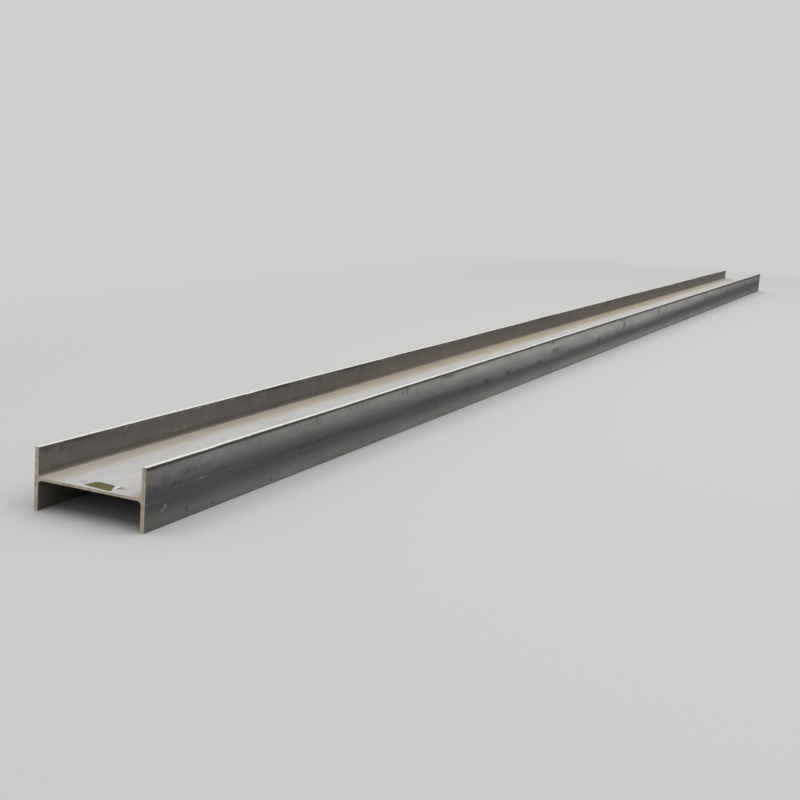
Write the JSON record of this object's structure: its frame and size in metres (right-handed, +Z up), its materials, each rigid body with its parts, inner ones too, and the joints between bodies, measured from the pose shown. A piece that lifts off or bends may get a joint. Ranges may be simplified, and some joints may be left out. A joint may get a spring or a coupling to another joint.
{
  "type": "steel i-beam",
  "caption": "Hot-rolled steel i-beam with wide parallel flanges, a thin web and filleted roots, sawn square at the ends; structural stock for columns, beams and frames.",
  "frame": {"origin": "on the floor under the middle of the beam, midway between the flanges", "axes": "+X along the beam, +Y across it from flange to flange, +Z up through the level web"},
  "size_m": [12, 0.404, 0.201],
  "materials": {
    "mill_scale_steel": "matte"
  },
  "bodies": {
    "root": {"beam": "mill_scale_steel"}
  },
  "joints": []
}
